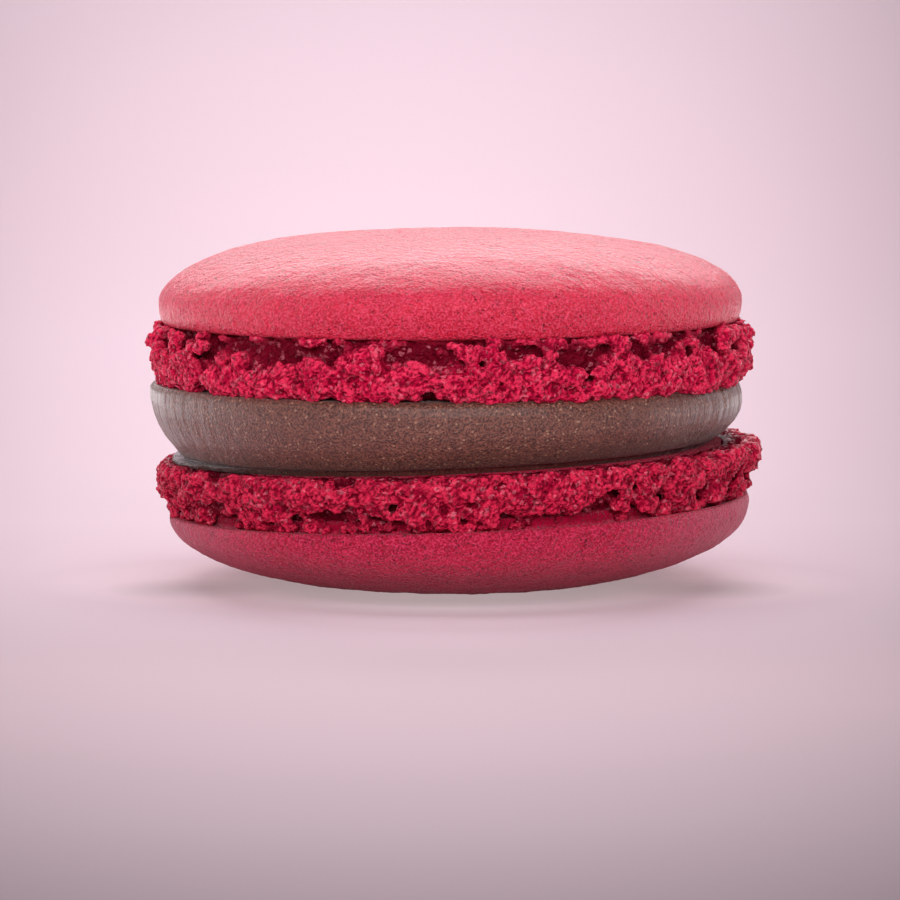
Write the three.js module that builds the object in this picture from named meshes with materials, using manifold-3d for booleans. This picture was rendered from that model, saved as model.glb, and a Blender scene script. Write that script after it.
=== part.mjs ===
// A French macaron: two baked almond meringue shells with ruffled feet, and chocolate ganache between.
// Millimetres, +Z up. The origin is the middle of the base, on the surface that the macaron rests on.
import * as THREE from "three";
import { mergeVertices } from "three/addons/utils/BufferGeometryUtils.js";
import { ImprovedNoise } from "three/addons/math/ImprovedNoise.js";
import Module from "manifold-3d";

const wasm = await Module();
wasm.setup();
const perlin = new ImprovedNoise();

// Driving dimensions. Each shell is described dome up, with z = 0 at the face that the filling sticks to.
const topShell = {
  capRadius: 21.55, // at the cap's widest level
  capRise: 5.1, // from the widest level to the crown
  capFullness: 2.8, // 2 is an ellipse, more is squarer at the shoulder
  capLean: 0, // degrees that the dome leans within its own lip, right side up
  lipDrop: 1.5, // from the widest level down to the lip that overhangs the foot
  lipInset: 0.65, // how far the lip curls back in under the cap
  footHeight: 4.4,
  footRadius: 22, // middle of the ruffles, at their fullest
  neckInset: 1.5, // how far the foot draws in where it meets the lip
  tilt: 0.35, // degrees, right side up
  seed: 3.1,
  color: 0xc92c4a,
};
const bottomShell = {
  capRadius: 21.5,
  capRise: 5.75,
  capFullness: 2.6,
  capLean: 1.5,
  lipDrop: 0.4,
  lipInset: 0.15,
  footHeight: 3.85,
  footRadius: 21.85,
  neckInset: 0.95,
  tilt: 2.2,
  seed: 11.7,
  color: 0xb3233f,
};
const filling = {
  thickness: 5.1, // between the shells' faces, in the middle
  bulgeRadius: 21.85, // at the fullest, just under the top shell
  bulgeShare: 0.8, // of the thickness, up to that fullest level
  neckRadius: 20.15, // just above the bottom shell
  topRadius: 20.9,
  beadRadius: 20.75, // the thin film squeezed out on the bottom foot
  beadHeight: 0.3,
  offset: -0.3, // it was pressed out a little more on the left
  color: 0x6e433e,
};
const bondGap = 0.3; // left clear between the filling and each shell
const flatDepth = 0.12; // worn off the bottom crown, so that it has a flat to stand on

// Relief. Widths and heights are the size of one lump, hollow or swell, and depths are how far it stands.
const knobs = { width: 2.5, height: 1.6, depth: 1.15, level: 0.22, sag: 0.45 };
const hollows = { width: 4.2, height: 1.5, depth: 2.2, rarity: 0.12, from: 0.4, to: 0.95 };
const capSwells = { width: 13, depth: 0.2 };
const fillingSwells = { width: 6, depth: 0.14 };
const ruffleDepth = 2.5; // how far in from the foot's rim the relief reaches on the filling face
const rimRoll = { inset: 0.9, share: 0.25 }; // the rounding of the foot's edge at the filling
const neckRelief = 0.3; // share of the lumps that is left where the foot meets the lip
const overlap = 0.5; // how far the foot runs up into the cap, which it is one piece with

// Facets
const capSegments = 72;
const capRows = 8;
const lipRows = 3;
const footSegments = 144;
const wallRows = 9;
const fillingSegments = 84;
const fillingRows = 7;

const { clamp, degToRad, lerp, smoothstep } = THREE.MathUtils;

// Turns an outline of [radius, height] pairs about the vertical, as one mesh with its seam and poles closed.
function turn(outline, segments) {
  const points = outline.map(([radius, height]) => new THREE.Vector2(radius, height));
  const turned = new THREE.LatheGeometry(points, segments).rotateX(Math.PI / 2);
  turned.deleteAttribute("normal");
  turned.deleteAttribute("uv");
  return mergeVertices(turned, 1e-3);
}

// Moves every vertex of a geometry by the function given, which changes the point that it is handed.
function shape(geometry, move) {
  const position = geometry.getAttribute("position");
  const point = new THREE.Vector3();
  for (let i = 0; i < position.count; i++) {
    move(point.fromBufferAttribute(position, i));
    position.setXYZ(i, point.x, point.y, point.z);
  }
  return geometry;
}

// Pushes a point away from the vertical axis.
function pushOut(point, distance) {
  const radius = Math.max(Math.hypot(point.x, point.y), 1);
  point.x *= 1 + distance / radius;
  point.y *= 1 + distance / radius;
}

// Smooth noise from about -1 to 1, with lumps of the width and height given.
function noiseAt(point, width, height, seed) {
  return perlin.noise(point.x / width + seed, point.y / width - seed, point.z / height + seed);
}

function toSolid(geometry) {
  return new wasm.Manifold(
    new wasm.Mesh({
      numProp: 3,
      vertProperties: geometry.getAttribute("position").array,
      triVerts: new Uint32Array(geometry.index.array),
    }),
  );
}

function toGeometry(solid) {
  const mesh = solid.getMesh();
  return new THREE.BufferGeometry()
    .setAttribute("position", new THREE.BufferAttribute(mesh.vertProperties, 3))
    .setIndex(new THREE.BufferAttribute(mesh.triVerts, 1))
    .toNonIndexed();
}

// The smooth cap's outline: a dome over a lip that curls back in, closed across underneath.
function capOutline(shell) {
  const widest = shell.footHeight + shell.lipDrop;
  const lipRadius = shell.capRadius - shell.lipInset;
  const underside = shell.footHeight + overlap / 2;
  const outline = [
    [0, underside],
    [lipRadius - 1.6, underside],
  ];
  for (let i = 0; i < lipRows; i++) {
    const curl = ((1 - i / lipRows) * Math.PI) / 2;
    const radius = lipRadius + shell.lipInset * Math.cos(curl);
    outline.push([radius, widest - shell.lipDrop * Math.sin(curl)]);
  }
  for (let i = 0; i < capRows; i++) {
    const climb = ((i / capRows) * Math.PI) / 2;
    const radius = shell.capRadius * Math.cos(climb) ** (2 / shell.capFullness);
    outline.push([radius, widest + shell.capRise * Math.sin(climb)]);
  }
  outline.push([0, widest + shell.capRise]);
  return outline;
}

// The cap is not quite round, swells a little here and there, and leans within its lip.
function makeCap(shell) {
  const height = shell.lipDrop + shell.capRise;
  const slope = Math.tan(degToRad(shell.capLean));
  return shape(turn(capOutline(shell), capSegments), (point) => {
    const swell = capSwells.depth * noiseAt(point, capSwells.width, capSwells.width, shell.seed);
    const climbed = clamp((point.z - shell.footHeight) / height, 0, 1);
    pushOut(point, swell);
    point.z += swell * climbed + slope * point.x * Math.sqrt(climbed);
  });
}

// The foot's outline: a thick disc whose wall swells out over the filling and draws in under the lip.
function footOutline(shell) {
  const outline = [
    [0, 0],
    [shell.footRadius - 2 * ruffleDepth, 0],
    [shell.footRadius - 0.9 * ruffleDepth, 0],
  ];
  for (let i = 0; i <= wallRows; i++) {
    const share = i / wallRows;
    const rolled = rimRoll.inset * Math.max(0, 1 - share / rimRoll.share) ** 2;
    const drawnIn = shell.neckInset * smoothstep(share, 0.35, 0.95);
    outline.push([shell.footRadius - rolled - drawnIn, share * shell.footHeight]);
  }
  const buried = shell.footHeight + overlap;
  outline.push([shell.footRadius - 4, buried], [0, buried]);
  return outline;
}

// The foot is torn and bubbly where the batter rose: lumps all over, and deep hollows under the lip.
function makeFoot(shell) {
  const firstRuffled = shell.footRadius - ruffleDepth;
  return shape(turn(footOutline(shell), footSegments), (point) => {
    const radius = Math.hypot(point.x, point.y);
    const outer = smoothstep(radius, firstRuffled, shell.footRadius - 1);
    const share = clamp(point.z / shell.footHeight, 0, 1);
    const lumpy = outer * lerp(1, neckRelief, smoothstep(share, 0.72, 0.98));
    const band = smoothstep(share, hollows.from, hollows.from + 0.2);
    const torn = outer * band * (1 - smoothstep(share, hollows.to - 0.15, hollows.to));

    const lump = Math.abs(noiseAt(point, knobs.width, knobs.height, shell.seed)) - knobs.level;
    const gap = noiseAt(point, hollows.width, hollows.height, -shell.seed) - hollows.rarity;
    const sag = noiseAt(point, knobs.width, knobs.width, 2 * shell.seed);
    pushOut(point, knobs.depth * lump * lumpy - hollows.depth * Math.max(0, gap) * torn);
    point.z += knobs.sag * sag * lumpy * (share > 0 ? 1 : 0.5);
  });
}

function fuseShell(shell) {
  return toSolid(makeFoot(shell)).add(toSolid(makeCap(shell)));
}

// The filling's outline, with heights as shares of its thickness: a film, a neck, and a bulge above it.
function fillingOutline() {
  const beadShare = filling.beadHeight / filling.thickness;
  const outline = [
    [0, 0],
    [filling.neckRadius - 3, 0],
    [filling.beadRadius, 0],
    [filling.beadRadius + 0.1, beadShare / 2],
    [filling.neckRadius, beadShare],
  ];
  for (let i = 1; i < fillingRows; i++) {
    const share = i / fillingRows;
    const swelling = Math.sin((Math.min(1, share / filling.bulgeShare) * Math.PI) / 2);
    const past = Math.max(0, share - filling.bulgeShare) / (1 - filling.bulgeShare);
    const tucked = (filling.bulgeRadius - filling.topRadius) * past ** 2;
    outline.push([lerp(filling.neckRadius, filling.bulgeRadius, swelling) - tucked, share]);
  }
  outline.push([filling.topRadius, 1], [filling.topRadius - 4, 1], [0, 1]);
  return outline;
}

// The filling lies between the two shells' faces, so its own faces take their tilts.
function makeFilling(bottomFace, topFace) {
  return shape(turn(fillingOutline(), fillingSegments), (point) => {
    const share = point.z;
    point.z = share * filling.thickness;
    const swell = noiseAt(point, fillingSwells.width, fillingSwells.width, 5.3);
    if (Math.hypot(point.x, point.y) >= filling.neckRadius) pushOut(point, fillingSwells.depth * swell);
    point.x += filling.offset;
    point.z = lerp(bottomFace(point.x), topFace(point.x), share);
  });
}

// A plane that rises to the right by so many degrees, as its height over x.
function tiltedFace(height, degrees) {
  const slope = Math.tan(degToRad(degrees));
  return (x) => height + slope * x;
}

function dress(name, solid, color, roughness) {
  const finish = new THREE.MeshStandardMaterial({ color, roughness, metalness: 0 });
  const mesh = new THREE.Mesh(toGeometry(solid), finish);
  mesh.name = name;
  return mesh;
}

// The bottom shell lies dome down and leans to the right, and its crown is flattened level by its own weight.
const attitude = new THREE.Quaternion()
  .setFromAxisAngle(new THREE.Vector3(0, 1, 0), -degToRad(bottomShell.tilt))
  .multiply(new THREE.Quaternion().setFromAxisAngle(new THREE.Vector3(1, 0, 0), Math.PI));
const upward = new THREE.Vector3(0, 0, 1).applyQuaternion(attitude.clone().invert());
const domeDown = fuseShell(bottomShell);
const levels = [...toGeometry(domeDown).getAttribute("position").array];
let crown = Infinity;
for (let i = 0; i < levels.length; i += 3) {
  crown = Math.min(crown, upward.dot(new THREE.Vector3().fromArray(levels, i)));
}
const floorLevel = crown + flatDepth;
const flattened = domeDown.trimByPlane(upward.toArray(), floorLevel);

const bottom = dress("bottom_shell", flattened, bottomShell.color, 0.6);
bottom.quaternion.copy(attitude);
bottom.position.z = -floorLevel;

const top = dress("top_shell", fuseShell(topShell), topShell.color, 0.55);
top.rotation.y = -degToRad(topShell.tilt);
top.position.z = bottom.position.z + filling.thickness;

const under = tiltedFace(bottom.position.z + bondGap, bottomShell.tilt);
const over = tiltedFace(top.position.z - bondGap, topShell.tilt);
const ganache = dress("ganache", toSolid(makeFilling(under, over)), filling.color, 0.4);

const macaron = new THREE.Group();
macaron.add(bottom, ganache, top);

// The ruffles are uneven, so the whole is slid to put the middle of its outline over the origin.
const extent = new THREE.Box3().setFromObject(macaron, true);
const middle = extent.getCenter(new THREE.Vector3());
macaron.position.set(-middle.x, -middle.y, -extent.min.z);

export default macaron;
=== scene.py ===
# A raspberry macaron with chocolate ganache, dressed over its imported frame.
# Shapes are modelled in millimetres, each shell dome up on its filling face, then set in place in metres.
import math
import random

import bmesh
import bpy
import numpy as np
from mathutils import Matrix, Vector, noise


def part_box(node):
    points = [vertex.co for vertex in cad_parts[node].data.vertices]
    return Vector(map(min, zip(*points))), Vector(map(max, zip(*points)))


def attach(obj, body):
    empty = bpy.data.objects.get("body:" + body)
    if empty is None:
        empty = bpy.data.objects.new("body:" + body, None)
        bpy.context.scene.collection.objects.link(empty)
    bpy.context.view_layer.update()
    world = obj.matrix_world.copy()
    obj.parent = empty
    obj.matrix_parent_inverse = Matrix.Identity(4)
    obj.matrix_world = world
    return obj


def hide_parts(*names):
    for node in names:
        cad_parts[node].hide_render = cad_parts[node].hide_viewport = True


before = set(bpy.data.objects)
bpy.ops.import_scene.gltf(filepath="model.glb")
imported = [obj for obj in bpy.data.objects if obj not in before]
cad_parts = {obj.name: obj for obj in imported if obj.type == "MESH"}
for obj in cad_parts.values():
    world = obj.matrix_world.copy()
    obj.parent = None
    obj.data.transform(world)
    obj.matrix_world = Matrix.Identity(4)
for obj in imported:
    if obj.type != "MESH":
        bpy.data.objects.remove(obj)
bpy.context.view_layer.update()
mm = 0.001
print("frame loaded")

topShell = {
    "node": "top_shell",
    "slot": "meringue_top",
    "domeDown": False,
    "shift": 0.0,  # to the right of the filling's axis
    "tilt": 0.35,  # degrees, right side up
    "lean": 0.0,  # degrees more that the dome leans within its lip
    "capRadius": 21.55,
    "capRise": 5.1,
    "fullness": 2.8,
    "lipDrop": 1.5,
    "lipInset": 0.6,
    "footHeight": 4.4,
    "reach": [  # share of the foot's height, from the filling to the lip, and radius
        (0, 21.5), (0.15, 21.75), (0.3, 21.95), (0.5, 22.1), (0.75, 22.25), (0.9, 22.1), (1, 21.7),
    ],
    "torn": 1.6,  # depth of the hollows torn under the lip
    "neck": 20.5,  # radius of the smooth wall under the lip
    "seed": 3,
}
bottomShell = {
    "node": "bottom_shell",
    "slot": "meringue_bottom",
    "domeDown": True,
    "shift": 0.45,
    "tilt": 2.2,
    "lean": 1.5,
    "capRadius": 21.55,
    "capRise": 5.75,
    "fullness": 2.6,
    "lipDrop": 0.4,
    "lipInset": 0.25,
    "footHeight": 3.85,
    "reach": [
        (0, 21.6), (0.08, 22.1), (0.3, 22.15), (0.5, 21.85), (0.7, 21.55), (0.85, 21.45), (1, 21.35),
    ],
    "torn": 1.2,
    "neck": 20.4,
    "seed": 11,
}
ganache = {
    "thickness": 5.1,
    "offset": -0.3,  # pressed out a little more on the left
    "neck": 19.4,
    "film": 0.9,  # how far the squeezed-out film spreads from the neck at its widest
    "filmThickness": 0.32,
    "baseShare": 0.085,  # the film and the tucked-in base lie below this share of the thickness
    "left": [  # share of the thickness and radius
        (0.09, 19.6), (0.2, 20.1), (0.35, 20.8), (0.5, 21.3),
        (0.65, 21.65), (0.8, 21.85), (0.95, 21.85), (1, 21.6),
    ],
    "right": [
        (0.09, 20.0), (0.2, 20.7), (0.35, 21.35), (0.5, 21.75),
        (0.65, 21.9), (0.8, 21.85), (0.93, 21.6), (1, 21.2),
    ],
    "pleatWidth": 0.9,
    "pleatDepth": 0.11,
    "swellWidth": 5.0,
    "swellDepth": 0.15,
    "topRadius": 20.2,  # where its side turns in under the top shell
    "around": 840,
    "spacing": 0.13,
}


def setSeats():  # where each shell's own frame lies, from the frame's boxes
    low, high = (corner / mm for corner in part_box("ganache"))
    axis = ((low.x + high.x) / 2 - ganache["offset"], (low.y + high.y) / 2)
    stack = topShell["footHeight"] + topShell["lipDrop"] + topShell["capRise"]
    topShell["face"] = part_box("top_shell")[1].z / mm - stack
    bottomShell["face"] = topShell["face"] - ganache["thickness"]
    for shell in (topShell, bottomShell):
        seat = Matrix.Translation((axis[0] + shell["shift"], axis[1], shell["face"]))
        seat = seat @ Matrix.Rotation(math.radians(-shell["tilt"]), 4, "Y")
        shell["seat"] = seat @ Matrix.Rotation(math.pi if shell["domeDown"] else 0, 4, "X")
        shell["slope"] = math.tan(math.radians(shell["tilt"]))
    ganache["axis"] = axis


def smoothStep(value, low, high):
    share = min(max((value - low) / (high - low), 0), 1)
    return share * share * (3 - 2 * share)


def mix(a, b, share):
    return a + (b - a) * share


def noiseAt(place, width, height, seed):  # smooth, about -1 to 1, in lumps of that width and height
    return noise.noise(Vector((place.x / width + seed, place.y / width - seed, place.z / height + seed)))


def chance(place, seed):  # 0 to 1 and as good as random, but fixed by the place, so every run agrees
    return 0.5 + 0.5 * noise.cell(place * 60 + Vector((seed, 2 * seed, 3 * seed)))


def evenly(points, spacing):  # the same outline with its points at even steps
    points = np.array(points, float)
    walked = np.concatenate(([0], np.cumsum(np.hypot(*np.diff(points, axis=0).T))))
    stops = np.linspace(0, walked[-1], max(1, round(walked[-1] / spacing)) + 1)
    return list(zip(np.interp(stops, walked, points[:, 0]), np.interp(stops, walked, points[:, 1])))


def newObject(name, mesh):
    obj = bpy.data.objects.new(name, mesh)
    bpy.context.scene.collection.objects.link(obj)
    return obj


def lathe(name, outline, around, sectors=16):  # an outline of (radius, height), turned about the vertical
    bm = bmesh.new()
    corners = [bm.verts.new((radius, 0, height)) for radius, height in outline]
    edges = [bm.edges.new(pair) for pair in zip(corners, corners[1:])]
    turn = 2 * math.pi / sectors
    upright = {"cent": (0, 0, 0), "axis": (0, 0, 1), "dvec": (0, 0, 0)}
    bmesh.ops.spin(bm, geom=corners + edges, angle=turn, steps=around // sectors, **upright)
    sector = bm.verts[:] + bm.edges[:] + bm.faces[:]
    bmesh.ops.spin(
        bm, geom=sector, angle=2 * math.pi - turn, steps=sectors - 1, use_duplicate=True, **upright
    )
    bmesh.ops.remove_doubles(bm, verts=bm.verts, dist=5e-4)
    bmesh.ops.recalc_face_normals(bm, faces=bm.faces)
    mesh = bpy.data.meshes.new(name)
    bm.to_mesh(mesh)
    bm.free()
    return newObject(name, mesh)


def readVertices(mesh):  # their places and normals
    places = np.empty(len(mesh.vertices) * 3, np.float32)
    normals = np.empty(len(mesh.vertices) * 3, np.float32)
    mesh.vertices.foreach_get("co", places)
    mesh.vertex_normals.foreach_get("vector", normals)
    return places.reshape(-1, 3), normals.reshape(-1, 3)


def moveVertices(obj, move):  # move gets each place and normal, and returns the new place
    places, normals = readVertices(obj.data)
    pairs = zip(places.tolist(), normals.tolist())
    moved = [move(Vector(place), Vector(normal)) for place, normal in pairs]
    obj.data.vertices.foreach_set("co", np.array(moved, np.float32).ravel())
    obj.data.update()


def keepModified(obj):  # the mesh as its modifiers make it
    graph = bpy.context.evaluated_depsgraph_get()
    old = obj.data
    obj.data = bpy.data.meshes.new_from_object(obj.evaluated_get(graph), depsgraph=graph)
    obj.modifiers.clear()
    bpy.data.meshes.remove(old)


def remesh(obj, voxel):
    modifier = obj.modifiers.new("remesh", "REMESH")
    modifier.mode = "VOXEL"
    modifier.voxel_size = voxel
    keepModified(obj)


def setInPlace(obj, place, nodeName, material):  # from millimetres to the row frame
    obj.data.transform(Matrix.Scale(mm, 4) @ place)
    obj.data.update()
    obj.data.materials.clear()
    obj.data.materials.append(material)
    obj.data.shade_smooth()
    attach(obj, "root")
    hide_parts(nodeName)
    print(obj.name, len(obj.data.polygons), "faces")


# Skin of the caps
skin = {
    "around": 640,
    "spacing": 0.2,
    "swellWidth": 13.0,
    "swellDepth": 0.2,
    "dimpleWidth": 1.7,
    "dimpleDepth": 0.07,
    "wrinkleWidth": 0.7,
    "wrinkleDepth": 0.02,
    "grainWidth": 0.4,
    "grainDepth": 0.03,
    "neck": 0.7,  # height of the smooth wall that shows under the lip
    "coreRadius": 19.6,  # of the plug inside the foot
}


def capOutline(shell):
    foot = shell["footHeight"]
    widest = foot + shell["lipDrop"]
    inset = shell["lipInset"]
    lip = shell["capRadius"] - inset
    wall = shell["neck"]
    core = skin["coreRadius"]
    power = 2 / shell["fullness"]
    turns = [math.pi / 2 * step / 90 for step in range(91)]
    outline = [
        (shell["capRadius"] * math.sin(turn) ** power, widest + shell["capRise"] * math.cos(turn))
        for turn in turns
    ]
    outline += [
        (lip + inset * max(math.cos(turn), 0) ** 0.8, widest - shell["lipDrop"] * math.sin(turn))
        for turn in turns
    ]
    shown = evenly(outline, skin["spacing"])
    under = [(wall, foot + 0.15), (wall - 0.05, foot - skin["neck"])]
    under += [(core, foot - skin["neck"] - 0.2), (core, 0.02), (0, 0.02)]
    return shown + evenly([shown[-1], under[0], under[1]], 0.25)[1:] + under[2:]


def makeCap(shell, name, material):
    height = shell["lipDrop"] + shell["capRise"]
    slope = math.tan(math.radians(shell["lean"]))

    def move(place, normal):
        climbed = min(max((place.z - shell["footHeight"]) / height, 0), 1)
        outer = smoothStep(place.xy.length, 15, 20)
        swell = skin["swellDepth"] * noiseAt(place, skin["swellWidth"], skin["swellWidth"], shell["seed"])
        shown = smoothStep(place.z, shell["footHeight"] + 0.05, shell["footHeight"] + 0.5)
        wrinkle = abs(noiseAt(place, skin["wrinkleWidth"], skin["wrinkleWidth"], shell["seed"]))
        grain = noiseAt(place, skin["grainWidth"], skin["grainWidth"], shell["seed"])
        dimple = noiseAt(place, skin["dimpleWidth"], skin["dimpleWidth"], 2 + shell["seed"])
        relief = skin["wrinkleDepth"] * (0.3 - wrinkle) + skin["grainDepth"] * grain
        relief += skin["dimpleDepth"] * dimple
        place = place + normal * relief * shown
        if place.z > shell["footHeight"] - 1.2:
            place.xy *= 1 + swell * outer / 21
        place.z += swell * climbed + slope * place.x * math.sqrt(climbed)
        return place

    cap = lathe(name, capOutline(shell), skin["around"])
    places, _ = readVertices(cap.data)
    below = shell["footHeight"] + 0.1 - places[:, 2]
    moveVertices(cap, move)
    # how far below the lip each vertex lies, a mask for the painted shade on the wall under it
    storeShares(cap.data, "shadedRecess", below / 0.3)
    if shell["domeDown"]:
        standOnFlat(cap, shell)
    setInPlace(cap, shell["seat"], shell["node"], material)


def standOnFlat(cap, shell):  # the crown is worn level where it rests on the table
    toWorld = shell["seat"]
    back = toWorld.inverted()

    def settle(place, normal):
        world = toWorld @ place
        world.z = max(world.z, 0)
        return back @ world

    moveVertices(cap, settle)


# Torn crumb of the feet
crumb = {
    "around": 368,
    "innerRadius": 19.7,
    "outside": (19.9, 20.6),  # radii from which it starts to be torn and is torn in full
    "scatterFrom": 20.3,  # radius beyond which it has grains and bubbles
    "coreDepth": 1.5,  # from the full reach in to the solid crumb behind the lumps
    "lumps": 1300,
    "lumpSize": (0.4, 1.0),
    "warpWidth": 0.8,
    "warpDepth": 0.35,
    "grains": 15000,
    "grainSize": (0.14, 0.3),
    "grainSeed": 20,
    "bubbles": 3500,
    "bubbleSize": (0.12, 0.32),
    "bubbleSeed": 30,
    "voxel": 0.185,
    "roughness": 0.09,
    "roughSeed": 40,
}


def rimReach(shell, share):  # the foot's mean radius at a share of its height
    shares, radii = zip(*shell["reach"])
    return float(np.interp(share, shares, radii))


def footReach(shell, angle, share):  # with its lumps and the hollows torn under the lip
    around = Vector((math.cos(angle), math.sin(angle), 0)) * 21.5
    around.z = share * shell["footHeight"]
    reach = rimReach(shell, share)
    reach += 0.4 * noiseAt(around, 2.2, 1.4, shell["seed"]) + 0.3 * noiseAt(around, 7, 5, shell["seed"])
    torn = smoothStep(noiseAt(around, 2.6, 0.9, -shell["seed"]), -0.05, 0.3)
    band = smoothStep(share, 0.35, 0.55) * (1 - smoothStep(share, 0.86, 0.96))
    drawn = 0.2 * shell["torn"] * smoothStep(share, 0.8, 0.95)  # back under the lip
    return reach - shell["torn"] * torn * band - drawn


def joinCopies(name, template, placements):  # one mesh of a template copied to each placement
    corners = np.array([v.co for v in template.vertices])
    faces = np.array([list(p.vertices) for p in template.polygons])
    matrices = np.array(list(placements))
    turned = np.einsum("nij,vj->nvi", matrices[:, :3, :3], corners) + matrices[:, None, :3, 3]
    offsets = np.arange(len(matrices)) * len(corners)
    joined = (faces[None] + offsets[:, None, None]).reshape(-1, 3)
    mesh = bpy.data.meshes.new(name)
    mesh.from_pydata(turned.reshape(-1, 3).tolist(), [], joined.tolist())
    return newObject(name, mesh)


def ball():
    bm = bmesh.new()
    bmesh.ops.create_icosphere(bm, subdivisions=2, radius=1)
    mesh = bpy.data.meshes.new("ball")
    bm.to_mesh(mesh)
    bm.free()
    return mesh


def lumpPlacements(shell, draw):
    height = shell["footHeight"]
    for _ in range(crumb["lumps"]):
        angle = draw.uniform(0, 2 * math.pi)
        share = draw.uniform(0.02, 1.0)
        size = mix(*crumb["lumpSize"], draw.random() ** 1.5) * (1 - 0.45 * share)
        radius = footReach(shell, angle, share) - size * draw.uniform(0.55, 0.85)
        level = max(share * height, 0.8 * size)
        yield (
            Matrix.Rotation(angle, 4, "Z")
            @ Matrix.Translation((radius, 0, level))
            @ Matrix.Diagonal((0.8 * size, 1.2 * size, 0.8 * size, 1))
        )


def scatterOn(body, shell, seed, count, sizes, sink):  # placements over the part of the foot that shows
    edge = crumb["scatterFrom"]
    top = shell["footHeight"]
    shown = [v for v in body.data.vertices if v.co.xy.length > edge and v.co.z < top]
    for vertex in shown:
        if chance(vertex.co, seed) < count / len(shown):
            size = mix(*sizes, chance(vertex.co, seed + 1) ** 2)
            centre = vertex.co + vertex.normal * size * mix(*sink, chance(vertex.co, seed + 2))
            yield Matrix.Translation(centre) @ Matrix.Scale(size, 4)


def cutAway(body, tool):
    modifier = body.modifiers.new("cut", "BOOLEAN")
    modifier.operation = "DIFFERENCE"
    modifier.solver = "MANIFOLD"
    modifier.object = tool
    keepModified(body)
    bpy.data.objects.remove(tool)


def joinInto(obj, *others):
    bpy.ops.object.select_all(action="DESELECT")
    for one in (obj, *others):
        one.select_set(True)
    bpy.context.view_layer.objects.active = obj
    bpy.ops.object.join()


def dropScraps(obj):  # only the largest connected body stays
    bm = bmesh.new()
    bm.from_mesh(obj.data)
    left = set(bm.verts)
    islands = []
    while left:
        edge = [left.pop()]
        island = list(edge)
        while edge:
            for link in edge.pop().link_edges:
                for corner in link.verts:
                    if corner in left:
                        left.remove(corner)
                        edge.append(corner)
                        island.append(corner)
        islands.append(island)
    islands.sort(key=len)
    for island in islands[:-1]:
        bmesh.ops.delete(bm, geom=island, context="VERTS")
    bm.to_mesh(obj.data)
    bm.free()
    print(obj.name, "scraps dropped", len(islands) - 1)


def hollowness(mesh, rounds):  # how deep each vertex lies below the ones round it, in millimetres
    places, normals = readVertices(mesh)
    edges = np.empty(len(mesh.edges) * 2, np.int32)
    mesh.edges.foreach_get("vertices", edges)
    ends = edges.reshape(-1, 2)
    both = np.concatenate((ends, ends[:, ::-1]))
    around = np.bincount(both[:, 0], minlength=len(places))[:, None]
    blurred = places.copy()
    for _ in range(rounds):
        total = np.stack([np.bincount(both[:, 0], blurred[both[:, 1], axis]) for axis in range(3)], 1)
        blurred = 0.3 * blurred + 0.7 * total / around
    return ((blurred - places) * normals).sum(1)


def storeShares(mesh, name, values):
    attribute = mesh.attributes.new(name, "FLOAT", "POINT")
    attribute.data.foreach_set("value", np.clip(values, 0, 1).astype(np.float32))


def makeFoot(shell, name, material):
    draw = random.Random(shell["seed"])
    height = shell["footHeight"]
    inner = crumb["innerRadius"]
    core = [
        (rimReach(shell, step / 12) - crumb["coreDepth"], step / 12 * height)
        for step in range(1, 13)
    ]
    start = (core[0][0] - 0.2, 0.05)
    outline = evenly([(inner, 0.05), start, *core, (inner, height), (inner, 0.05)], 0.3)
    foot = lathe(name, outline, crumb["around"])

    template = ball()
    joinInto(foot, joinCopies(name + "Lumps", template, lumpPlacements(shell, draw)))
    remesh(foot, 0.2)

    def warp(place, normal):
        shown = smoothStep(place.xy.length, *crumb["outside"])
        return place + noise.noise_vector(place / crumb["warpWidth"]) * crumb["warpDepth"] * shown

    moveVertices(foot, warp)
    grains = scatterOn(
        foot, shell, crumb["grainSeed"], crumb["grains"], crumb["grainSize"], (-0.3, 0.4)
    )
    joinInto(foot, joinCopies(name + "Grains", template, grains))
    remesh(foot, 0.14)
    bubbles = scatterOn(
        foot, shell, crumb["bubbleSeed"], crumb["bubbles"], crumb["bubbleSize"], (-0.1, 0.5)
    )
    holes = joinCopies(name + "Bubbles", template, bubbles)
    remesh(holes, 0.1)
    cutAway(foot, holes)
    remesh(foot, crumb["voxel"])
    dropScraps(foot)
    bpy.data.meshes.remove(template)

    def roughen(place, normal):
        shown = smoothStep(place.xy.length, *crumb["outside"])
        push = 2 * chance(place, crumb["roughSeed"]) - 1
        place = place + normal * crumb["roughness"] * push * shown
        place.z = max(place.z, -0.1 + 0.15 * noiseAt(place, 0.9, 0.9, shell["seed"]))
        return place

    moveVertices(foot, roughen)
    # masks for the crumb's painted shade in its recesses and pits, and its painted highlight where it
    # sticks out
    places, _ = readVertices(foot.data)
    reach = [rimReach(shell, min(max(z / height, 0), 1)) for z in places[:, 2]]
    sunk = np.array(reach) + 0.5 - np.hypot(places[:, 0], places[:, 1])
    storeShares(foot.data, "shadedRecess", sunk / 1.8)
    storeShares(foot.data, "pit", 0.5 + 4 * hollowness(foot.data, 4))
    setInPlace(foot, shell["seat"], shell["node"], material)


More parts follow.
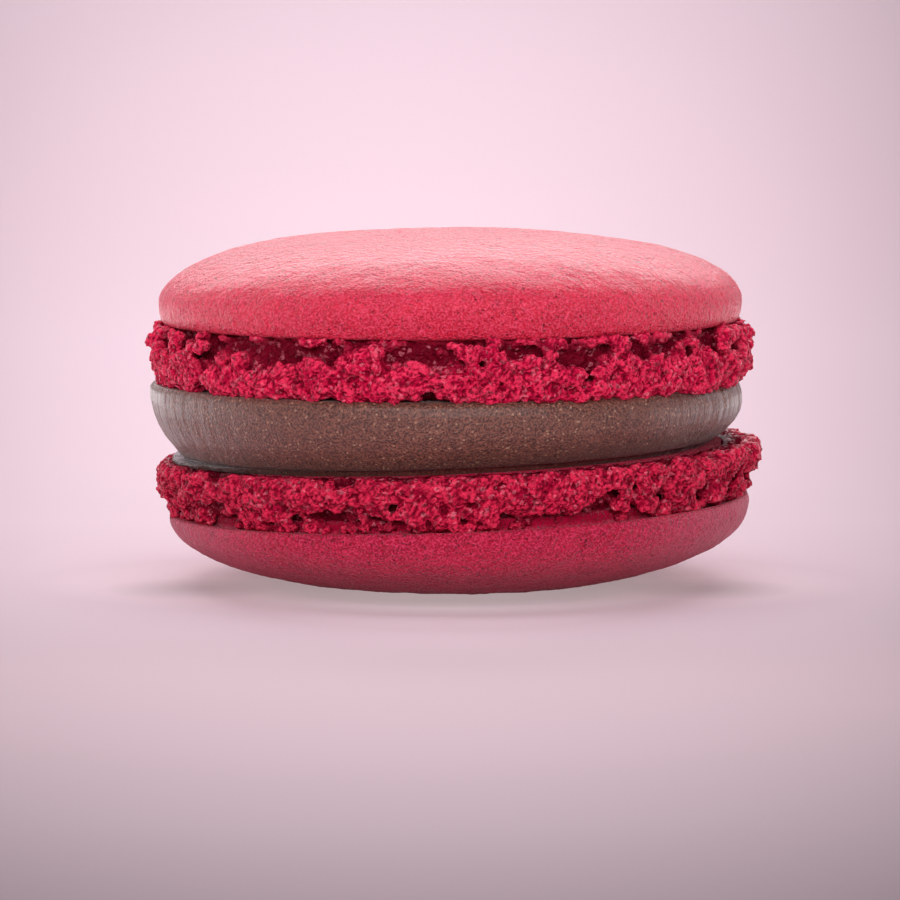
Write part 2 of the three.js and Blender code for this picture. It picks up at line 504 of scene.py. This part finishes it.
def makeGanache(name, material):
    fill = ganache
    thickness = fill["thickness"]
    shares, leftRadii = zip(*fill["left"])
    rightShares, rightRadii = zip(*fill["right"])
    flank = [
        (float(np.interp(step / 60, shares, leftRadii)), step / 60 * thickness)
        for step in range(6, 61)
    ]
    edge = fill["neck"] + fill["film"]
    turns = [math.pi * step / 8 for step in range(9)]
    half = fill["filmThickness"] / 2
    film = [(edge - half * (1 - math.sin(turn)), half * (1 - math.cos(turn))) for turn in turns]
    neck = [(fill["neck"] + 0.1, 2 * half + 0.02), (fill["neck"], 2 * half + 0.12)]
    outline = [(0, 0), (fill["neck"] - 1, 0), *evenly(film + neck, 0.05), *evenly(flank, fill["spacing"])]
    outline += [(fill["topRadius"], thickness), (0, thickness)]

    def filmSpread(rim):  # squeezed out at the left, a little at the right, nowhere else
        side = max(-rim.x, 0.85 * rim.x)
        spread = 1.5 * side ** 6 - 0.25 + 0.3 * noise.noise(rim * 9)
        spread += 0.1 * noise.noise(rim * 30)
        return min(max(spread, 0), 1)

    def move(place, normal):
        share = place.z / thickness
        radius = place.xy.length
        angle = math.atan2(place.y, place.x)
        rim = place / max(radius, 1)
        outer = smoothStep(radius, 18, 20)
        width = fill["pleatWidth"]
        pleat = noise.noise(Vector((rim.x * 21 / width, rim.y * 21 / width, share * 0.8)))
        pleat *= 0.2 + 0.8 * abs(math.cos(angle)) ** 4
        swell = noiseAt(place, fill["swellWidth"], fill["swellWidth"], 5)
        shift = outer * (fill["pleatDepth"] * pleat + fill["swellDepth"] * swell)
        if share > fill["baseShare"]:
            rounder = np.interp(share, rightShares, rightRadii) - np.interp(share, shares, leftRadii)
            shift += outer * (1 + rim.x) / 2 * float(rounder)
        else:
            flush = fill["neck"] - 0.35 + 0.75 * place.z
            shift -= max(radius - flush, 0) * (1 - filmSpread(rim))
        place.xy *= 1 + shift / max(radius, 1)
        place.x += fill["offset"]
        bottom = bottomShell["face"] + bottomShell["slope"] * place.x - 0.05
        top = topShell["face"] + topShell["slope"] * place.x + 0.1
        place.z = mix(bottom, top, share)
        return place

    body = lathe(name, outline, fill["around"], 20)
    places, _ = readVertices(body.data)
    spreads = [filmSpread(Vector((x, y, 0)) / max(math.hypot(x, y), 1)) for x, y, _ in places.tolist()]
    wetness = (0.8 - places[:, 2]) / 0.4 * np.minimum(4 * np.array(spreads), 1)
    moveVertices(body, move)
    storeShares(body.data, "wet", wetness)
    # mask for the painted shade at its tucked-in base
    storeShares(body.data, "tucked", 0.85 - places[:, 2] / 0.6)
    setInPlace(body, Matrix.Translation((*fill["axis"], 0)), "ganache", material)


def fromHex(text):  # sRGB to linear
    parts = [int(text[i : i + 2], 16) / 255 for i in (1, 3, 5)]
    return (*(c / 12.92 if c <= 0.04045 else ((c + 0.055) / 1.055) ** 2.4 for c in parts), 1)


def addNode(tree, kind, settings=None, links=None):
    node = tree.nodes.new("ShaderNode" + kind)
    for key, value in (settings or {}).items():
        if isinstance(key, int) or key in node.inputs:
            node.inputs[key].default_value = value
        else:
            setattr(node, key, value)
    for key, source in (links or {}).items():
        tree.links.new(source, node.inputs[key])
    return node


def newMaterial(name):
    material = bpy.data.materials.new(name)
    material.use_nodes = True
    material.node_tree.nodes.clear()
    return material, material.node_tree


def finishMaterial(tree, settings, links):
    shader = addNode(tree, "BsdfPrincipled", settings, links)
    addNode(tree, "OutputMaterial", links={"Surface": shader.outputs[0]})


# Baked almond meringue skin: dried in the air before baking,
# so it is satin, finely wrinkled and pricked with pores
topSkin = {
    "name": "baked meringue skin",
    "grain": "#ff4a70",
    "mid": "#e4163e",
    "deep": "#d20e36",
    "pore": "#a4062a",
    "roughness": 0.32,
    "specular": 0.36,
    "sheen": 0.08,
    "sideSheen": 0.0,  # painted sheen: how much paler its two ends are, as if lit from the sides
}
# painted shade: the same skin in darker colours, for the less lit lower shell
bottomSkin = {
    "name": "baked meringue skin, underside",
    "grain": "#ea3c68",
    "mid": "#c0143c",
    "deep": "#aa0832",
    "pore": "#820424",
    "roughness": 0.4,
    "specular": 0.18,
    "sheen": 0.14,
    "sideSheen": 0.35,
}


def makeSkin(finish):
    material, tree = newMaterial(finish["name"])
    place = addNode(tree, "TexCoord").outputs["Object"]
    cloud = addNode(tree, "TexNoise", {"Scale": 1 / (2.0 * mm), "Detail": 3.0}, {"Vector": place})
    blend = addNode(tree, "MapRange", {1: 0.35, 2: 0.65, 3: 0.0, 4: 1.0}, {0: cloud.outputs[0]})
    hues = addNode(
        tree, "Mix", {"data_type": "RGBA", 6: fromHex(finish["mid"]), 7: fromHex(finish["deep"])},
        {0: blend.outputs[0]},
    )
    fine = addNode(tree, "TexNoise", {"Scale": 1 / (0.15 * mm), "Detail": 2.0}, {"Vector": place})
    grain = addNode(tree, "MapRange", {1: 0.42, 2: 0.66, 3: 0.0, 4: 1.0}, {0: fine.outputs[0]})
    grained = addNode(
        tree, "Mix", {"data_type": "RGBA", 7: fromHex(finish["grain"])},
        {0: grain.outputs[0], 6: hues.outputs[2]},
    )
    pores = addNode(tree, "TexVoronoi", {"Scale": 1 / (0.34 * mm)}, {"Vector": place})
    pricks = addNode(tree, "MapRange", {1: 0.14, 2: 0.34, 3: 0.5, 4: 0.0}, {0: pores.outputs["Distance"]})
    poresOn = addNode(
        tree, "Mix", {"data_type": "RGBA", 7: fromHex(finish["pore"])},
        {0: pricks.outputs[0], 6: grained.outputs[2]},
    )
    holes = addNode(tree, "TexVoronoi", {"Scale": 1 / (1.5 * mm)}, {"Vector": place})
    dots = addNode(tree, "MapRange", {1: 0.06, 2: 0.1, 3: 0.85, 4: 0.0}, {0: holes.outputs["Distance"]})
    holesOn = addNode(
        tree, "Mix", {"data_type": "RGBA", 7: fromHex("#7c0420")},
        {0: dots.outputs[0], 6: poresOn.outputs[2]},
    )
    axes = addNode(tree, "SeparateXYZ", links={0: place})
    # painted shade: darker towards the floor the underside rests on; the same mask makes it duller
    crown = addNode(tree, "MapRange", {1: 4.0 * mm, 2: 0.6 * mm, 3: 0.0, 4: 0.85}, {0: axes.outputs["Z"]})
    crownShaded = addNode(
        tree, "Mix", {"data_type": "RGBA", 7: fromHex("#5c0018")},
        {0: crown.outputs[0], 6: holesOn.outputs[2]},
    )
    # painted sheen: paler towards its two ends, standing in for light from the sides
    sideways = addNode(tree, "Math", {"operation": "ABSOLUTE"}, {0: axes.outputs["X"]})
    sideSheenMask = addNode(
        tree, "MapRange", {1: 12 * mm, 2: 21 * mm, 3: 0.0, 4: finish["sideSheen"]},
        {0: sideways.outputs[0]},
    )
    sideSheened = addNode(
        tree, "Mix", {"data_type": "RGBA", 7: fromHex("#d87890")},
        {0: sideSheenMask.outputs[0], 6: crownShaded.outputs[2]},
    )
    # painted shade: the wall under the lip is darker crimson, as it lies in the lip's shadow; the same
    # mask makes it duller
    under = addNode(tree, "Attribute", {"attribute_name": "shadedRecess"}).outputs["Fac"]
    lipShaded = addNode(
        tree, "Mix", {"data_type": "RGBA", 7: fromHex("#ae0034")},
        {0: under, 6: sideSheened.outputs[2]},
    )
    dullest = addNode(tree, "Math", {"operation": "MAXIMUM"}, {0: under, 1: crown.outputs[0]})
    dullness = addNode(
        tree, "MapRange", {1: 0.0, 2: 0.7, 3: finish["roughness"], 4: 0.95},
        {0: dullest.outputs[0]},
    )
    wrinkles = addNode(tree, "TexNoise", {"Scale": 1 / (0.5 * mm), "Detail": 1.0}, {"Vector": place})
    bump = addNode(tree, "Bump", {"Strength": 1.0, "Distance": 0.32 * mm}, {"Height": wrinkles.outputs[0]})
    rough = addNode(
        tree, "Bump", {"Strength": 1.0, "Distance": 0.27 * mm},
        {"Height": fine.outputs[0], "Normal": bump.outputs[0]},
    )
    pricked = addNode(
        tree, "Bump", {"Strength": 0.8, "Distance": 0.1 * mm, "invert": True},
        {"Height": pricks.outputs[0], "Normal": rough.outputs[0]},
    )
    finishMaterial(
        tree,
        {
            "Specular IOR Level": finish["specular"],
            "Sheen Weight": finish["sheen"],
            "Sheen Roughness": 0.3,
            "Sheen Tint": fromHex("#ffeef2"),
            "Subsurface Weight": 0.06,
            "Subsurface Radius": (1.0, 0.2, 0.2),
            "Subsurface Scale": 0.5 * mm,
        },
        {"Base Color": lipShaded.outputs[2], "Roughness": dullness.outputs[0], "Normal": pricked.outputs[0]},
    )
    return material


# Baked almond meringue crumb: torn open as it rose, beaded, painted brighter where it sticks out
# and painted darker in its holes, recesses, bead gaps and dents, with pale specks as painted glints
topCrumb = {"name": "torn meringue crumb", "light": "#ff3662", "mid": "#d00642", "deep": "#780020"}
# painted shade: the same crumb in darker colours, for the less lit lower shell
bottomCrumb = {
    "name": "torn meringue crumb, underside",
    "light": "#ee2e56",
    "mid": "#b20436",
    "deep": "#6c001c",
}


def makeCrumb(finish):
    material, tree = newMaterial(finish["name"])
    deep = fromHex(finish["deep"])
    place = addNode(tree, "TexCoord").outputs["Object"]
    shadedRecess = addNode(tree, "Attribute", {"attribute_name": "shadedRecess"}).outputs["Fac"]
    pit = addNode(tree, "Attribute", {"attribute_name": "pit"}).outputs["Fac"]
    cloud = addNode(tree, "TexNoise", {"Scale": 1 / (1.6 * mm), "Detail": 2.0}, {"Vector": place})
    # painted highlight: lighter where it sticks out, in random patches
    high = addNode(tree, "Math", {"operation": "ADD"}, {0: pit, 1: cloud.outputs[0]})
    raised = addNode(tree, "MapRange", {1: 1.08, 2: 0.82, 3: 0.0, 4: 1.0}, {0: high.outputs[0]})
    hues = addNode(
        tree, "Mix", {"data_type": "RGBA", 6: fromHex(finish["mid"]), 7: fromHex(finish["light"])},
        {0: raised.outputs[0]},
    )
    # painted shade: darker in the recesses under the lip
    sunken = addNode(tree, "MapRange", {1: 0.35, 2: 0.9, 3: 0.0, 4: 1.0}, {0: shadedRecess})
    shaded = addNode(
        tree, "Mix", {"data_type": "RGBA", 7: deep},
        {0: sunken.outputs[0], 6: hues.outputs[2]},
    )
    # painted shade: darker in its pits
    holes = addNode(tree, "MapRange", {1: 0.58, 2: 0.8, 3: 0.0, 4: 0.9}, {0: pit})
    pitted = addNode(
        tree, "Mix", {"data_type": "RGBA", 7: deep},
        {0: holes.outputs[0], 6: shaded.outputs[2]},
    )
    jitter = addNode(tree, "TexNoise", {"Scale": 1 / (0.5 * mm), "Detail": 2.0}, {"Vector": place})
    bent = addNode(
        tree, "VectorMath", {"operation": "MULTIPLY_ADD", 1: (0.3 * mm, 0.3 * mm, 0.3 * mm)},
        {0: jitter.outputs["Color"], 2: place},
    )
    beads = addNode(tree, "TexVoronoi", {"Scale": 1 / (0.27 * mm)}, {"Vector": bent.outputs[0]})
    # painted shade: darker in the gaps between beads
    gaps = addNode(tree, "MapRange", {1: 0.45, 2: 0.85, 3: 0.0, 4: 0.2}, {0: beads.outputs["Distance"]})
    beaded = addNode(
        tree, "Mix", {"data_type": "RGBA", 7: deep},
        {0: gaps.outputs[0], 6: pitted.outputs[2]},
    )
    # painted highlight: pale specks in some beads stand in for glints
    tint = addNode(tree, "SeparateColor", links={0: beads.outputs["Color"]})
    glintMask = addNode(tree, "MapRange", {1: 0.85, 2: 1.0, 3: 0.0, 4: 0.5}, {0: tint.outputs[0]})
    glinted = addNode(
        tree, "Mix", {"data_type": "RGBA", 7: fromHex("#ff8ca0")},
        {0: glintMask.outputs[0], 6: beaded.outputs[2]},
    )
    fine = addNode(tree, "TexNoise", {"Scale": 1 / (0.32 * mm), "Detail": 3.0}, {"Vector": place})
    # painted shade: darker in the dents of the fine bump
    dents = addNode(tree, "MapRange", {1: 0.52, 2: 0.34, 3: 0.0, 4: 0.9}, {0: fine.outputs[0]})
    dented = addNode(
        tree, "Mix", {"data_type": "RGBA", 7: deep},
        {0: dents.outputs[0], 6: glinted.outputs[2]},
    )
    domed = addNode(tree, "MapRange", {1: 0.0, 2: 0.75, 3: 1.0, 4: 0.0}, {0: beads.outputs["Distance"]})
    bump = addNode(tree, "Bump", {"Strength": 1.0, "Distance": 0.1 * mm}, {"Height": domed.outputs[0]})
    rough = addNode(
        tree, "Bump", {"Strength": 1.0, "Distance": 0.25 * mm},
        {"Height": fine.outputs[0], "Normal": bump.outputs[0]},
    )
    dull = addNode(tree, "MapRange", {1: 0.3, 2: 0.7, 3: 0.3, 4: 0.9}, {0: pit})
    finishMaterial(
        tree,
        {"Specular IOR Level": 0.1},
        {"Base Color": dented.outputs[2], "Roughness": dull.outputs[0], "Normal": rough.outputs[0]},
    )
    return material


# Chocolate ganache: spread and set, satin brown, finely pleated at its ends,
# with tiny pale specks of cocoa fat and a wet film at its base
def makeGanacheFinish(name):
    material, tree = newMaterial(name)
    place = addNode(tree, "TexCoord").outputs["Object"]
    wet = addNode(tree, "Attribute", {"attribute_name": "wet"}).outputs["Fac"]
    along = {"Rotation": (0, math.radians(35), 0), "Scale": (1.0, 1.0, 0.15)}
    swept = addNode(tree, "Mapping", along, {"Vector": place})
    streak = addNode(
        tree, "TexNoise", {"Scale": 1 / (0.5 * mm), "Detail": 3.0},
        {"Vector": swept.outputs[0]},
    )
    blend = addNode(tree, "MapRange", {1: 0.3, 2: 0.7, 3: 0.0, 4: 1.0}, {0: streak.outputs[0]})
    hues = addNode(
        tree, "Mix", {"data_type": "RGBA", 6: fromHex("#8e5746"), 7: fromHex("#774539")},
        {0: blend.outputs[0]},
    )
    grain = addNode(tree, "TexNoise", {"Scale": 1 / (0.15 * mm), "Detail": 2.0}, {"Vector": place})
    sand = addNode(tree, "MapRange", {1: 0.42, 2: 0.6, 3: 0.0, 4: 1.0}, {0: grain.outputs[0]})
    sanded = addNode(
        tree, "Mix", {"data_type": "RGBA", 7: fromHex("#4c261f")},
        {0: sand.outputs[0], 6: hues.outputs[2]},
    )
    bits = addNode(tree, "TexVoronoi", {"Scale": 1 / (0.45 * mm)}, {"Vector": place})
    specks = addNode(tree, "MapRange", {1: 0.12, 2: 0.24, 3: 0.65, 4: 0.0}, {0: bits.outputs["Distance"]})
    speckled = addNode(
        tree, "Mix", {"data_type": "RGBA", 7: fromHex("#c09478")},
        {0: specks.outputs[0], 6: sanded.outputs[2]},
    )
    darkened = addNode(
        tree, "Mix", {"data_type": "RGBA", 7: fromHex("#4a241d")},
        {0: wet, 6: speckled.outputs[2]},
    )
    # painted shade: darker at the base, where it tucks in over the bottom shell
    tucked = addNode(tree, "Attribute", {"attribute_name": "tucked"}).outputs["Fac"]
    baseShaded = addNode(
        tree, "Mix", {"data_type": "RGBA", 7: fromHex("#44241c")},
        {0: tucked, 6: darkened.outputs[2]},
    )
    gloss = addNode(tree, "MapRange", {1: 0.0, 2: 1.0, 3: 0.38, 4: 0.12}, {0: wet})
    upright = addNode(tree, "Mapping", {"Scale": (1.0, 1.0, 0.1)}, {"Vector": place})
    pleats = addNode(
        tree, "TexNoise", {"Scale": 1 / (0.8 * mm), "Detail": 2.0},
        {"Vector": upright.outputs[0]},
    )
    across = addNode(tree, "SeparateXYZ", links={0: place}).outputs["X"]
    sideways = addNode(tree, "Math", {"operation": "ABSOLUTE"}, {0: across})
    ends = addNode(tree, "MapRange", {1: 12 * mm, 2: 20 * mm, 3: 0.1, 4: 1.0}, {0: sideways.outputs[0]})
    folded = addNode(
        tree, "Bump", {"Distance": 0.5 * mm},
        {"Strength": ends.outputs[0], "Height": pleats.outputs[0]},
    )
    bump = addNode(
        tree, "Bump", {"Strength": 0.8, "Distance": 0.2 * mm},
        {"Height": grain.outputs[0], "Normal": folded.outputs[0]},
    )
    finishMaterial(
        tree,
        {
            "Coat Weight": 0.22,
            "Coat Roughness": 0.3,
            "Sheen Weight": 0.25,
            "Sheen Roughness": 0.4,
            "Subsurface Weight": 0.03,
            "Subsurface Scale": 0.4 * mm,
        },
        {"Base Color": baseShaded.outputs[2], "Roughness": gloss.outputs[0], "Normal": bump.outputs[0]},
    )
    return material


# Studio
studio = {
    "cameraDistance": 0.327,
    "cameraHeight": 0.041,
    "pitch": -5.45,
    "lens": 177.0,
    "floorRadius": 0.25,
    "bend": 0.9,
    "wallTop": 1.4,
    # painted light: how strongly the sweep glows by itself
    "glow": 0.267,
    "paint": [  # painted light falloff: depth in metres and colour, from in front of the biscuit to the foot of the wall
        (-0.122, "#93838a"),
        (-0.1, "#a8969e"),
        (-0.074, "#baa5ad"),
        (-0.046, "#c8b1b9"),
        (-0.02, "#ceb9c3"),
        (0.04, "#dbc4ce"),
        (0.1, "#d7bfc9"),
        (0.25, "#ceb7c1"),
        (0.39, "#c2abb4"),
        (0.53, "#b29ea7"),
    ],
    "world": ("#fbe9f0", 0.05),
    "lights": [  # name, place, aim, size, power in watts, hue
        ("backTop", (0, 0.55, 0.34), (0, 0, 0.02), (0.6, 0.34), 2.9, "#ffffff"),
        ("rimLeft", (-0.36, 0.26, 0.14), (0, 0, 0.013), (0.14, 0.12), 0.19, "#ffffff"),
        ("rimRight", (0.36, 0.26, 0.14), (0, 0, 0.013), (0.14, 0.12), 0.15, "#ffffff"),
        ("cardLeft", (-0.118, 0.08, 0.002), (-0.118, 0.08, 1), (0.12, 0.22), 0.28, "#ffffff"),
        ("cardRight", (0.118, 0.08, 0.002), (0.118, 0.08, 1), (0.12, 0.22), 0.18, "#ffffff"),
        ("overhead", (0, 0.0, 0.6), (0, 0, 0), (0.6, 0.5), 2.25, "#ffffff"),
        ("front", (0, -0.7, 0.3), (0, 0, 0.01), (1.0, 0.3), 4.9, "#ffffff"),
    ],
}


def makeCamera():
    data = bpy.data.cameras.new("camera")
    data.lens = studio["lens"]
    data.sensor_width = 36
    data.clip_start = 0.01
    camera = bpy.data.objects.new("camera", data)
    camera.location = (0, -studio["cameraDistance"], studio["cameraHeight"])
    camera.rotation_euler = (math.radians(90 + studio["pitch"]), 0, 0)
    bpy.context.scene.collection.objects.link(camera)
    bpy.context.scene.camera = camera


def makeBackdrop():  # a round sweep: level floor, then a wide bend up into the wall
    bend = studio["bend"]
    turns = [math.pi / 2 * step / 32 for step in range(1, 33)]
    outline = [(0, 0), (studio["floorRadius"], 0)]
    outline += [(studio["floorRadius"] + bend * math.sin(t), bend * (1 - math.cos(t))) for t in turns]
    outline += [(studio["floorRadius"] + bend, studio["wallTop"])]
    sweep = lathe("backdrop", outline, 128)
    sweep.data.flip_normals()
    sweep.data.shade_smooth()
    # painted light: the sweep glows by its own emission, with no lamp behind it
    material, tree = newMaterial("painted acrylic sweep, glowing with painted light")
    place = addNode(tree, "TexCoord").outputs["Object"]
    parts = addNode(tree, "SeparateXYZ", links={0: place})
    depths, hues = zip(*studio["paint"])
    along = addNode(
        tree, "MapRange", {1: depths[0], 2: depths[-1], 3: 0.0, 4: 1.0},
        {0: parts.outputs["Y"]},
    )
    ramp = addNode(tree, "ValToRGB", links={0: along.outputs[0]})
    stops = ramp.color_ramp.elements
    for depth, hue in studio["paint"][1:-1]:
        stops.new((depth - depths[0]) / (depths[-1] - depths[0])).color = fromHex(hue)
    stops[0].color = fromHex(hues[0])
    stops[-1].color = fromHex(hues[-1])
    # painted shade: dimmer towards both sides, where the light falls off
    away = addNode(
        tree, "Math", {"operation": "ADD", 1: studio["cameraDistance"]},
        {0: parts.outputs["Y"]},
    )
    far = addNode(tree, "Math", {"operation": "MAXIMUM", 1: 0.1}, {0: away.outputs[0]})
    aside = addNode(tree, "Math", {"operation": "DIVIDE"}, {0: parts.outputs["X"], 1: far.outputs[0]})
    offset = addNode(tree, "Math", {"operation": "ADD", 1: 0.012}, {0: aside.outputs[0]})
    squared = addNode(tree, "Math", {"operation": "POWER", 1: 2.0}, {0: offset.outputs[0]})
    dimmest = addNode(tree, "MapRange", {1: -0.01, 2: -0.06, 3: 0.6, 4: 0.72}, {0: parts.outputs["Y"]})
    fade = addNode(
        tree, "MapRange", {1: 0.0, 2: 0.0154, 3: 1.0},
        {0: squared.outputs[0], 4: dimmest.outputs[0]},
    )
    faded = addNode(
        tree, "VectorMath", {"operation": "SCALE"},
        {0: ramp.outputs[0], "Scale": fade.outputs[0]},
    )
    # painted light: paler in front of the biscuit, lifting its shadow
    ahead = addNode(
        tree, "Mapping", {"Location": (0, 0.0145, 0), "Scale": (1.7, 1.5, 1.0)},
        {"Vector": place},
    )
    spread = addNode(tree, "VectorMath", {"operation": "LENGTH"}, {0: ahead.outputs[0]})
    pale = addNode(tree, "MapRange", {1: 0.006, 2: 0.026, 3: 0.7, 4: 0.0}, {0: spread.outputs["Value"]})
    eased = addNode(
        tree, "Mix", {"data_type": "RGBA", 7: fromHex("#f4eaf0")},
        {0: pale.outputs[0], 6: faded.outputs[0]},
    )
    # painted shadow: darker at both ends of its shadow
    sideways = addNode(tree, "Math", {"operation": "ABSOLUTE"}, {0: parts.outputs["X"]})
    sides = addNode(tree, "CombineXYZ", links={0: sideways.outputs[0], 1: parts.outputs["Y"]})
    beside = addNode(tree, "Mapping", {"Location": (-0.019, 0.0045, 0)}, {"Vector": sides.outputs[0]})
    reach = addNode(tree, "VectorMath", {"operation": "LENGTH"}, {0: beside.outputs[0]})
    wing = addNode(tree, "MapRange", {1: 0.001, 2: 0.0065, 3: 0.74, 4: 1.0}, {0: reach.outputs["Value"]})
    paint = addNode(
        tree, "VectorMath", {"operation": "SCALE"},
        {0: eased.outputs[2], "Scale": wing.outputs[0]},
    )
    # painted light: the sweep glows a little more under the biscuit, lifting its shadow
    below = addNode(
        tree, "Mapping", {"Location": (0, 0.002, 0), "Scale": (1.0, 1.6, 1.0)},
        {"Vector": place},
    )
    inward = addNode(tree, "VectorMath", {"operation": "LENGTH"}, {0: below.outputs[0]})
    lift = addNode(tree, "MapRange", {1: 0.014, 2: 0.031, 3: 0.6, 4: 0.0}, {0: inward.outputs["Value"]})
    lifted = addNode(
        tree, "VectorMath", {"operation": "MULTIPLY_ADD", 1: (1.0, 0.85, 0.8)},
        {0: lift.outputs[0], 2: paint.outputs[0]},
    )
    finishMaterial(
        tree,
        {"Roughness": 0.9, "Specular IOR Level": 0.0, "Emission Strength": studio["glow"]},
        {"Base Color": paint.outputs[0], "Emission Color": lifted.outputs[0]},
    )
    sweep.data.materials.append(material)


def addSoftbox(name, place, target, size, power, hue):
    data = bpy.data.lights.new(name, "AREA")
    data.shape = "RECTANGLE"
    data.size, data.size_y = size
    data.energy = power
    data.color = fromHex(hue)[:3]
    light = bpy.data.objects.new(name, data)
    light.location = place
    light.rotation_euler = (Vector(target) - Vector(place)).to_track_quat("-Z", "Y").to_euler()
    bpy.context.scene.collection.objects.link(light)


def makeLights():
    world = bpy.data.worlds.new("world")
    world.use_nodes = True
    hue, strength = studio["world"]
    world.node_tree.nodes["Background"].inputs[0].default_value = fromHex(hue)
    world.node_tree.nodes["Background"].inputs[1].default_value = strength
    bpy.context.scene.world = world
    for light in studio["lights"]:
        addSoftbox(*light)


bpy.context.scene.view_settings.view_transform = "Standard"
makeCamera()
makeBackdrop()
makeLights()
print("studio set")

setSeats()
makeCap(topShell, "topCap", makeSkin(topSkin))
makeCap(bottomShell, "bottomCap", makeSkin(bottomSkin))
print("caps made")
makeFoot(topShell, "topFoot", makeCrumb(topCrumb))
makeFoot(bottomShell, "bottomFoot", makeCrumb(bottomCrumb))
print("feet made")
makeGanache("ganacheFilling", makeGanacheFinish("set chocolate ganache"))
print("ganache made")
